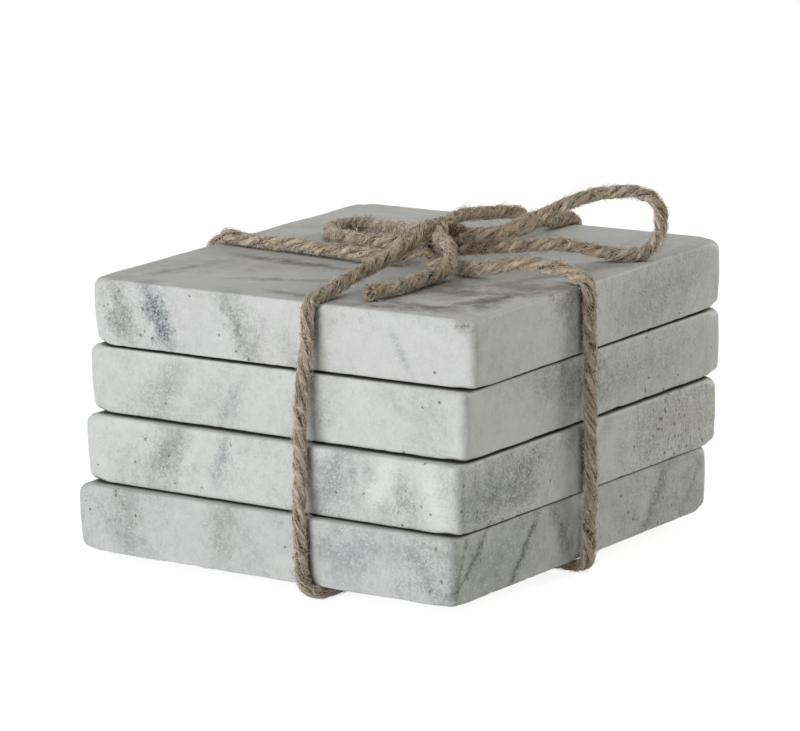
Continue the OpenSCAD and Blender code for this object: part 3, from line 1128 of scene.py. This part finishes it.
    def surface(self, first: int = 0, last: int | None = None) -> Surface:
        """The twine between two of the line's points, plies and fibres together.

        Args:
            first: Number of the first point.
            last: Number of the last point, or None for the line's end.

        Returns:
            The surface, in metres.
        """
        last = len(self.line.along) - 1 if last is None else last
        low, high = self.line.along[first], self.line.along[last]
        parts = [self._ply(number, first, last) for number in range(self.plies)]
        parts += [self._lying_fibres(low, high), self._stray_fibres(low, high)]
        if self.fray:
            parts.append(self._cut_end())
        return Surface.joined(parts)


def stone_box(number: int) -> tuple[np.ndarray, np.ndarray]:
    """Lowest and highest corner of a stone's solid, in millimetres.

    Args:
        number: 0 for the lowest stone, up to 3.

    Returns:
        The two corners.
    """
    low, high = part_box(f"coaster_{number + 1}")
    return np.array(low) / MM, np.array(high) / MM


def knot_place() -> np.ndarray:
    """The point of the top stone below the middle of the knot, in millimetres."""
    return np.array([*KNOT_XY, stone_box(3)[1][2]])


def bow_direction() -> np.ndarray:
    """Unit vector along the bow."""
    angle = math.radians(BOW_TURN)
    return np.array([math.cos(angle), math.sin(angle), 0.0])


def settled(route: np.ndarray, lifts: tuple[float, ...] = ()) -> np.ndarray:
    """Lets the twine's firm body sink onto the stone where its route runs low above it.

    Args:
        route: The route's points.
        lifts: How much higher each of the first points lies in the photograph than in the solid.

    Returns:
        The points, moved.
    """
    moved = np.array(route, float)
    moved[:, 2] -= SINK * (1 - smoothstep(moved[:, 2], *SINK_HEIGHTS))
    moved[:len(lifts), 2] += lifts
    return moved


@dataclass
class Climb:
    """The twine of one side: from the knot across the top, over the edge, down and under."""

    side: Side
    route: list[tuple[float, float, float]]
    # Points that take the place of the route's first one, inside or under the knot
    root: list[tuple[float, float, float]]
    edge_radius: float = 1.0
    standoff: float = 1.45
    # How much closer the leg lies to the stones than its solid
    snug: float = 0.35
    # How far along the edge the twine is pulled where it passes over it
    veer: float = 0.0
    # How far along the side the leg's points lie from their solids, downwards, and the foot's drift
    sway: tuple[float, ...] = (0.0,) * 7
    drift: float = 0.0
    # How much higher each of the route's points after the first lies than its solid
    lifts: tuple[float, ...] = ()

    def leg_rings(self, level: str) -> np.ndarray:
        """Centres of the rings of the solid of one stretch of the leg.

        Args:
            level: Which stretch: high, mid or low.

        Returns:
            The centres of its highest, middle and lowest ring.
        """
        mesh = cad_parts[f"{self.side.label}_leg_{level}"].data
        points = np.unique(np.round(np.array([v.co for v in mesh.vertices]) / MM, 3), axis=0)
        height = points[:, 2]
        # The two end rings are level
        low, high = height < height.min() + 0.1, height > height.max() - 0.1
        return np.array([points[chosen].mean(axis=0) for chosen in (high, ~low & ~high, low)])

    def leg(self) -> np.ndarray:
        """Points of the leg from half way up the top stone down to half way up the lowest.

        Returns:
            Seven points, in millimetres.
        """
        high, mid, low = (self.leg_rings(level) for level in ("high", "mid", "low"))
        beside = np.cross([0.0, 0.0, 1.0], self.side.out)
        leg = np.concatenate([high, mid[1:], low[1:]])
        return leg - self.snug * self.side.out + np.outer(self.sway, beside)

    def points(self) -> np.ndarray:
        """All points of this side's centreline, from the knot to under the stack.

        Over the top edge the line is an arc round the middle of the edge's rounding. On the top
        the strands settle onto the stone.

        Returns:
            The points, in millimetres.
        """
        leg, out = self.leg(), self.side.out
        low, high = stone_box(3)
        face = abs((high if out.sum() > 0 else low) @ np.abs(out))
        radius = self.edge_radius + self.standoff
        beside = leg[0] * [1, 1, 0] * (1 - np.abs(out))
        sideways = np.cross([0.0, 0.0, 1.0], out)
        over = [beside + out * (face - self.edge_radius + radius * math.cos(angle))
                + self.veer * sideways * math.sin(angle) ** 2
                + [0, 0, high[2] - self.edge_radius + radius * math.sin(angle)]
                for angle in map(math.radians, (90, 60, 30, 5))]
        under = [leg[-1] * [1, 1, 0] + out * outward + sideways * self.drift * share + [0, 0, height]
                 for outward, height, share in FOOT_BEND]
        route = np.concatenate([np.array(self.root, float), settled(self.route[1:], self.lifts)])
        return np.concatenate([knot_place() + route, over, leg, under])


@dataclass
class Wrap:
    """One turn of the twine round the stack: two opposite sides and the strand under them."""

    start: Climb
    end: Climb
    under_node: str
    seed: int
    lay: float = 16.0

    def build(self, jute: bpy.types.Material) -> None:
        """Builds the turn as one continuous twine, cut where the solids are cut.

        Args:
            jute: The twine's material.
        """
        one, two = self.start.points(), self.end.points()
        reference = np.cross([0.0, 0.0, 1.0], self.start.side.out)
        line = Line.through(np.concatenate([one, two[::-1]]), reference, STEP)
        twine = Twine(line, self.seed, self.lay)
        last = len(line.along) - 1
        under = []
        for climb, points, end in ((self.start, one, 0), (self.end, two, last)):
            leg = climb.leg()
            places = [leg[0], leg[2], leg[4], leg[6], points[-2]]
            marks = [end] + [line.index_near(place) for place in places]
            under.append(marks[-1])
            for name, a, b in zip(("strand", "leg_high", "leg_mid", "leg_low", "foot"), marks, marks[1:]):
                node = f"{climb.side.label}_{name}"
                piece = twine.surface(min(a, b), max(a, b)).piece(f"twine_{node}", jute, Slot.JUTE)
                self._place(piece, node, name)
        piece = twine.surface(min(under), max(under)).piece(f"twine_{self.under_node}", jute, Slot.JUTE)
        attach(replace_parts(piece, self.under_node), BODIES[0])

    @staticmethod
    def _place(piece: bpy.types.Object, node: str, name: str) -> None:
        """Lets a piece stand for its node and move with its body; a stretch of a leg is left unattached.

        Args:
            piece: The piece.
            node: The node that it replaces.
            name: The kind of stretch.
        """
        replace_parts(piece, node)
        gaps = {"leg_low": 0, "leg_mid": 1, "leg_high": 2}
        if name not in gaps:
            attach(piece, BODIES[3] if name == "strand" else BODIES[0])
            return
        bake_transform(piece)


@dataclass
class BowCord:
    """A loop or a tail of the bow: a free cord whose root lies in the knot."""

    node: str
    body: str
    points: np.ndarray
    reference: tuple[float, float, float]
    seed: int
    # Whether it ends in a bare cut, as a tail does
    loose: bool
    # How much higher each of the first points lies than its solid
    lifts: tuple[float, ...] = ()
    lay: float = 11.5

    def build(self, jute: bpy.types.Material) -> None:
        """Builds the cord and logs its length.

        Args:
            jute: The twine's material.
        """
        route = knot_place() + settled(self.points, self.lifts)
        line = Line.through(route, np.array(self.reference, float), STEP)
        twine = Twine(line, self.seed, self.lay, fray=self.loose)
        piece = twine.surface().piece(f"twine_{self.node}", jute, Slot.JUTE)
        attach(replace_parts(piece, self.node), self.body)
        LOG.info("%s: %.1f mm long", self.node, line.length)


@dataclass
class Knot:
    """The knot of the bow: a turn of twine drawn round the bundle of the two loops' roots."""

    seed: int = 90
    wrap_radius: float = 3.3
    lay: float = 10.0
    # Heights at which the two strands of the bundle pass through the wrap, how far they go on into
    # the loops, as a share of the loops' own distance, and how much darker they are painted, as shade
    # deep in the knot
    strand_heights: tuple[float, float] = (4.6, 6.4)
    reach_share: float = 1.15
    painted_bundle_shade: float = -0.45

    def _wrap(self) -> Line:
        """The turn round the bundle: three quarters of a circle about the bow's direction.

        Returns:
            Its line.
        """
        angle = np.linspace(-2.3, 2.6, 20)
        along = bow_direction()
        middle = knot_place() + [0, 0, KNOT_H] + (1.3 + 0.5 * np.sin(angle))[:, None] * along
        points = round_about(middle, np.cross(along, [0, 0, 1.0]), np.array([0, 0, 1.0]), angle,
                             np.full(len(angle), self.wrap_radius))
        return Line.through(points, along, STEP)

    def build(self, jute: bpy.types.Material) -> bpy.types.Object:
        """Builds the knot as one piece.

        Args:
            jute: The twine's material.

        Returns:
            The piece.
        """
        bow = bow_direction()
        right_high, right_low = (np.array([*(bow[:2] * p[0]), p[1]]) for p in (RIGHT_LOOP[0], RIGHT_LOOP[-1]))
        left_near, left_far = np.array(LEFT_LOOP[0]), np.array(LEFT_LOOP[-1])
        reach = [self.reach_share, self.reach_share, 1]
        lines = [self._wrap()]
        for left, right, height in zip((left_near, left_far), (right_low, right_high), self.strand_heights):
            strand = np.array([left * reach, left, [-0.8, 1.0, height], right, right * reach])
            lines.append(Line.through(knot_place() + strand, np.array([0, 0, 1.0]), STEP))
        shades = (0.0, self.painted_bundle_shade, self.painted_bundle_shade)
        parts = [Twine(line, self.seed + i, self.lay, shade=shade).surface()
                 for i, (line, shade) in enumerate(zip(lines, shades))]
        piece = Surface.joined(parts).piece("twine_knot", jute, Slot.JUTE)
        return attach(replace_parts(piece, "knot"), BODIES[3])


@dataclass
class Studio:
    """A plain white floor and backdrop, soft light and the camera."""

    azimuth: float = 34.79
    elevation: float = 12.36
    roll: float = -1.427
    distance: float = 1.0149
    aim: tuple[float, float, float] = (-2.3, 2.2, 38.2)
    lens: float = 208.66

    def camera(self) -> bpy.types.Object:
        """Places the camera at the photograph's angle, distance and tilt.

        Returns:
            The camera.
        """
        a, e, r = (math.radians(x) for x in (self.azimuth, self.elevation, self.roll))
        back = Vector((math.sin(a) * math.cos(e), -math.cos(a) * math.cos(e), math.sin(e)))
        level = Vector((math.cos(a), math.sin(a), 0.0))
        upright = back.cross(level)
        right = math.cos(r) * level + math.sin(r) * upright
        up = -math.sin(r) * level + math.cos(r) * upright
        data = bpy.data.cameras.new("camera")
        data.sensor_width = 36.0
        data.lens = self.lens
        data.clip_start, data.clip_end = 0.01, 20.0
        made = bpy.data.objects.new("camera", data)
        place = Vector(self.aim) * MM + back * self.distance
        made.matrix_world = Matrix.Translation(place) @ Matrix((right, up, back)).transposed().to_4x4()
        bpy.context.scene.collection.objects.link(made)
        bpy.context.scene.camera = made
        return made

    def world(self) -> None:
        """Even warm light from all round, plain white where the camera or a reflection looks."""
        world = bpy.data.worlds.new("studio")
        bpy.context.scene.world = world
        add = empty_tree(world)
        light = add("Background", {"Color": "fffff3", "Strength": 0.22})
        white = add("Background", {"Color": "ffffff", "Strength": 1.0})
        mix = add("MixShader", {0: self._looked_at(add), 1: light.outputs[0], 2: white.outputs[0]})
        add("OutputWorld", {"Surface": mix.outputs[0]})

    @staticmethod
    def _looked_at(add: AddNode) -> bpy.types.NodeSocket:
        """1 where the camera sees a thing itself, in a mirror or through glass, and 0 otherwise.

        Args:
            add: add_node for the tree.

        Returns:
            The socket that holds it.
        """
        rays = add("LightPath").outputs
        seen = rays["Is Camera Ray"]
        for name in ("Is Glossy Ray", "Is Transmission Ray"):
            seen = add("Math", {0: seen, 1: rays[name]}, operation="MAXIMUM").outputs[0]
        return seen

    def floor(self) -> bpy.types.Object:
        """A wide white floor that shows as white and still takes the object's shadow.

        Returns:
            The floor.
        """
        size, low = 3.0, -0.2 * MM
        mesh = bpy.data.meshes.new("floor")
        mesh.from_pydata([(-size, -size, low), (size, -size, low), (size, size, low), (-size, size, low)], [],
                         [(0, 1, 2, 3)])
        made = bpy.data.objects.new("floor", mesh)
        bpy.context.scene.collection.objects.link(made)
        material = bpy.data.materials.new("white_floor_paper")
        add = empty_tree(material)
        plain = add("BsdfDiffuse", {"Color": (0.75, 0.75, 0.75, 1)})
        glow = add("Emission", {"Color": "ffffff", "Strength": 0.88})
        soft = add("BsdfDiffuse", {"Color": (0.4, 0.4, 0.4, 1)})
        lit = add("AddShader", {0: glow.outputs[0], 1: soft.outputs[0]})
        mix = add("MixShader", {0: self._looked_at(add), 1: plain.outputs[0], 2: lit.outputs[0]})
        add("OutputMaterial", {"Surface": mix.outputs[0]})
        mesh.materials.append(material)
        return made

    def lamp(self, name: str, place: tuple[float, float, float], size: float, power: float,
             colour: tuple[float, float, float]) -> None:
        """One square soft light that faces the stack.

        Args:
            name: The lamp's name.
            place: Where it stands, in metres.
            size: Length of its sides.
            power: Its power in watts.
            colour: Its linear colour.
        """
        data = bpy.data.lights.new(name, "AREA")
        data.size, data.energy, data.color = size, power, colour
        made = bpy.data.objects.new(name, data)
        made.location = place
        aim = Vector(place) - Vector((0, 0, 0.03))
        made.rotation_euler = aim.to_track_quat("Z", "Y").to_euler()
        bpy.context.scene.collection.objects.link(made)

    def build(self) -> None:
        """Sets up the light and the floor: a bright front, a dimmer right side and a soft back light."""
        bpy.context.scene.view_settings.view_transform = "Standard"
        self.world()
        self.floor()
        self.lamp("low_light_from_the_left_front", (-0.35, -1.5, 0.22), 1.2, 22.5, (0.98, 1.0, 1.03))
        self.lamp("soft_light_from_the_back_right", (0.9, 1.8, 0.6), 0.5, 17.0, (1.0, 0.99, 0.93))


def marble_finishes() -> list[MarbleFinish]:
    """The four stones' marbles, lowest first, each with the marks that it shows; a few marks are painted
    shadows of the twine and painted shade on the right faces.

    Returns:
        The finishes.
    """
    dark, green, blue, brown, white = "4d5354", "858b86", "737c88", "7c746c", "efefeb"
    bottom = (
        Mark((-38, -52, 11), (0, 0, 1), 5, 14, 0.3, green),
        Mark((-12, -52, 12), (0.3, 0, 1), 4, 12, 0.45, "8f9486"),
        Mark((21, -52, 12), (1, 0, 0.2), 5, 20, 0.35, blue),
        Mark((41, -52, 9), (-0.5, 0, 1), 2.4, 9, 0.45, "6c727c"),
        Mark((8, -52, 7), (1, 0, 0), 3, 12, 0.4, white),
        Mark((49, -45, 12), (0, 6.2, 6.2), 0.9, 13, 0.9, dark),
        Mark((49, -49.5, 12), (0, 0.4, 1), 0.7, 9, 0.7, dark),
        Mark((49, -26.6, 10), (0, 8.8, 11.2), 1.0, 13, 1.0, "3b4041"),
        # Painted shadow of the right leg, a dark band beside it
        Mark((49, -12, 10), (0, -5.2, 9.6), 2.2, 13, 0.5, dark),
        Mark((49, 24, 9), (0, 7.7, 9.6), 1.8, 13, 0.55, dark),
        Mark((49, 38, 8), (0, 0.8, 1), 1.2, 10, 0.35, dark),
        # Partly the marble's grey-green tone, partly painted shade that keeps the right face darker than the
        # front
        Mark((49, -34, 10), (0, 1, 0.3), 9, 26, 0.38, "767d74"),
    )
    second = (
        Mark((-27, -51, 27), (0.5, 0, 1), 3.5, 12, 0.5, green),
        Mark((-13, -51, 27), (0.3, 0, 1), 1.8, 9, 0.4, blue),
        Mark((17, -51, 26), (0.5, 0, 1), 6, 14, 0.42, "7c838a"),
        Mark((28, -51, 24), (-0.4, 0, 1), 3, 8, 0.5, green),
        Mark((35, -51, 24), (-0.3, 0, 1), 3.4, 10, 0.5, "8b8f8c"),
        Mark((29, -51, 27), (-0.55, 0, -1), 2.6, 9, 1.5, white),
        Mark((42, -51, 25), (-0.3, 0, 1), 2.4, 8, 1.5, white),
        Mark((51, -34, 25), (0, 1, 0.2), 8, 26, 0.54, "727971"),
        # Painted shadow of the right leg, beside it
        Mark((51, -8, 28), (0, 0.6, -1), 3, 12, 0.45, green),
        Mark((51, 34, 26), (0, 1, 0), 6, 18, 0.25, "b5a897"),
    )
    third = (
        Mark((-30, -49, 38), (0.6, 0, 1), 4, 12, 0.4, green),
        Mark((-12, -49, 38), (0.6, 0, 1), 2, 10, 0.3, blue),
        Mark((10, -49, 38), (0.7, 0, 1), 4, 14, 0.35, green),
        # Painted shadow of the right leg, beside it
        Mark((50, -12, 43), (0, 1, -0.3), 4, 20, 0.5, green),
        # Partly the marble's grey-green tone, partly painted shade that keeps the right face darker than the
        # front
        Mark((50, 10, 40), (0, 1, 0), 7, 40, 0.41, green),
    )
    top = (
        Mark((-40.5, -47, 55.5), (0.25, 0, -1), 4.0, 11, 0.55, "7e8579"),
        Mark((-30.5, -47, 55.5), (0.45, 0, -1), 2.8, 11, 0.8, "646b75"),
        Mark((-9.5, -47, 56), (0.5, 0, -1), 3.0, 12, 0.6, "848a80"),
        Mark((4, -47, 52), (0.4, 0, -1), 3, 8, 0.25, green),
        Mark((33, -47, 53), (0.5, 0, -1), 1.0, 8, 0.3, green),
        # Painted shadow of the right leg, beside it
        Mark((50, -10, 56), (0, 0.6, -1), 4, 14, 0.4, green),
        Mark((50, 26, 56), (0, 1, 0.1), 7, 26, 0.45, green),
        Mark((50.2, -47.4, 62), (0, 0, 1), 0.8, 3, 0.6, brown),
        # The honed top: a broad brown-grey shade over its front half, wavy streaks, and painted shadows of
        # the left strand and the knot
        Mark((12, -34, 62.5), (1, 0.12, 0), 13, 70, 0.1, "8a8177"),
        Mark((-30, -24, 62.5), (1, 0.5, 0), 8, 40, 0.26, "8d887c"),
        Mark((-8, -30, 62.5), (1, 0.35, 0), 1.6, 18, 0.6, brown),
        Mark((2, -42, 62.5), (1, -0.15, 0), 1.8, 12, 0.7, "6f6962"),
        Mark((29, -22, 62.5), (-0.45, 0.9, 0), 5.5, 15, 0.7, "716962"),
        Mark((43, -32, 62.5), (-0.45, 0.9, 0), 3, 9, 0.8, "655d57"),
        Mark((37, -39, 62.5), (1, 0.4, 0), 1.3, 9, 0.9, "655c56"),
        Mark((44, -13, 62.5), (1, 0.5, 0), 6, 14, 0.6, "7d736c"),
        Mark((26, -43.5, 62.5), (1, 0.15, 0), 2.2, 14, 0.7, "70675f"),
        # Painted shadow of the left strand, cast in front of it
        Mark((-20, -13.5, 62.5), (1, -0.08, 0), 2.4, 24, 0.85, "6c655a"),
        # Partly painted shadow of the knot, partly a brown stain
        Mark((17, -17, 62.5), (1, 0.3, 0), 3, 10, 0.6, "7a6c5c"),
        Mark((30, -40, 62.5), (1, -0.15, 0), 3.0, 20, 0.75, "756c64"),
        Mark((42, -27, 62.5), (0.4, 1, 0), 3.2, 15, 0.95, "6d635c"),
        Mark((33, -24, 62.5), (1, 0.4, 0), 3.2, 16, 0.75, "7a706a"),
        Mark((40, 2, 62.5), (0.3, 1, 0), 2.6, 20, 0.6, "80776d"),
        Mark((-36, -30, 62.5), (0.3, 1, 0), 2.4, 18, 0.45, brown),
        Mark((-25, 30, 62.5), (1, 0.5, 0), 4, 26, 0.35, brown),
        Mark((30, 30, 62.5), (1, 0.2, 0), 3, 20, 0.3, brown),
    )
    return [
        MarbleFinish("honed_marble_grey_veined", (11, 5, 40), "e1e2e0", "d0d2d0", "a8aba8", bottom, (
            Zone((40, -52, 9), 14, 0.6), Zone((-40, -52, 9), 18, 0.4), Zone((49, 30, 9), 30, 0.5),
        )),
        MarbleFinish("honed_marble_speckled", (63, 21, 9), "ebecea", "dddfdc", "b6b8b6", second, (
            Zone((51, 34, 26), 34, 1.3), Zone((51, -36, 24), 22, 1.1), Zone((-28, -51, 24), 10, 0.6),
            Zone((-12, -51, 25), 6, 0.7),
        )),
        MarbleFinish("honed_marble_even", (27, 77, 31), "e9eae8", "dcdedb", "bfc1bf", third, (
            Zone((50, -8, 44), 16, 0.8), Zone((50, 30, 40), 22, 0.5), Zone((-32, -49, 36), 12, 0.4),
        )),
        MarbleFinish("honed_marble_blue_smudge", (90, 33, 55), "e8e8e7", "dddddc", "c0c1bf", top, (
            Zone((-40, -47, 55), 9, 1.0), Zone((-30, -47, 53), 8, 1.2), Zone((-8, -47, 55), 10, 0.6),
            Zone((50, 20, 56), 34, 0.6), Zone((50, -10, 57), 14, 0.7),
        )),
    ]


def stones() -> list[Stone]:
    """The four stones, with the wear that each shows at its corners.

    Returns:
        The stones, lowest first.
    """
    bottom, second, third, top = marble_finishes()
    return [
        Stone(0, bottom, 100, (3.6, 4.4, 2.8, 2.2)),
        Stone(1, second, 110, (3.2, 4.4, 2.8, 2.2), undercut=0.25),
        Stone(2, third, 120, (2.2, 4.4, 3.8, 2.2)),
        Stone(3, top, 130, (3.4, 4.6, 4.2, 2.2), left_top_edge=3.4),
    ]


def bow_cords() -> list[BowCord]:
    """The two loops and the two tails of the bow.

    Returns:
        The cords.
    """
    bow = bow_direction()
    across = np.cross(bow, [0.0, 0.0, 1.0])
    right_loop = np.array([[*(bow[:2] * distance), height] for distance, height in RIGHT_LOOP])
    return [
        BowCord("right_loop", "right_bow_loop", right_loop, tuple(across), 11, False,
                (-0.5, -0.9, -0.9, -0.4, 0.2, 0.2)),
        BowCord("left_loop", "left_bow_loop", np.array(LEFT_LOOP), (0, 0, 1), 23, False),
        BowCord("front_tail", "front_bow_tail", np.array(FRONT_TAIL), (1, 0, 0), 37, True,
                (0, 0, 0, 0, 0, 0.1, 0.3, 0.3, 0.3, 0.4)),
        BowCord("back_tail", "back_bow_tail", np.array(BACK_TAIL), (1, 0, 0), 41, True,
                (0, -0.1, -0.4, -0.4, -0.2)),
    ]


def wraps() -> list[Wrap]:
    """The two turns of the twine round the stack.

    The front strand passes over the knot and becomes the back one. The right and the left strand
    end in the hollow in front of it.

    Returns:
        The turns.
    """
    front = Climb(Side.FRONT, FRONT_ROUTE,
                  [(0.5, 6.8, 4.8), (0.6, 5.2, 7.0), (0.4, 2.5, 8.8), (0.1, -0.8, 9), (-0.2, -3.6, 8.1)],
                  veer=1.0, sway=(-0.2, -0.9, -1.1, -0.9, -0.4, -0.3, 0.1), drift=3.0,
                  lifts=(0.4, 0.9, 1.4, 1.3, 0.3))
    back = Climb(Side.BACK, BACK_ROUTE, [(0.6, 6.6, 4.4)], lifts=(0, 0, 0.1, 0.7, 1.0, -0.1))
    right = Climb(Side.RIGHT, RIGHT_ROUTE, [(1.0, -3.0, 3.2), (3.2, -5.6, 2.0)],
                  lifts=(0.2, 0.2, 0.6, 0.9, 0.9, 0.6))
    left = Climb(Side.LEFT, LEFT_ROUTE, [(0.6, -2.4, 4.2), (-2.8, -3.6, 3.2)], edge_radius=4.4, standoff=0.8,
                 lifts=(0.5, 0.5, 0.5, 0.3, 0.2))
    return [Wrap(front, back, "under_strand_across", 53), Wrap(right, left, "under_strand_along", 67)]


def main() -> None:
    """Builds the coasters and the bow and reports each piece."""
    logging.basicConfig(level=logging.INFO, format="%(message)s")
    studio = Studio()
    studio.camera()
    jute = JuteFinish().material()
    for part in [*bow_cords(), *wraps(), Knot()]:
        part.build(jute)
    for stone in stones():
        stone.build()
    studio.build()


if __name__ == "__main__":
    main()
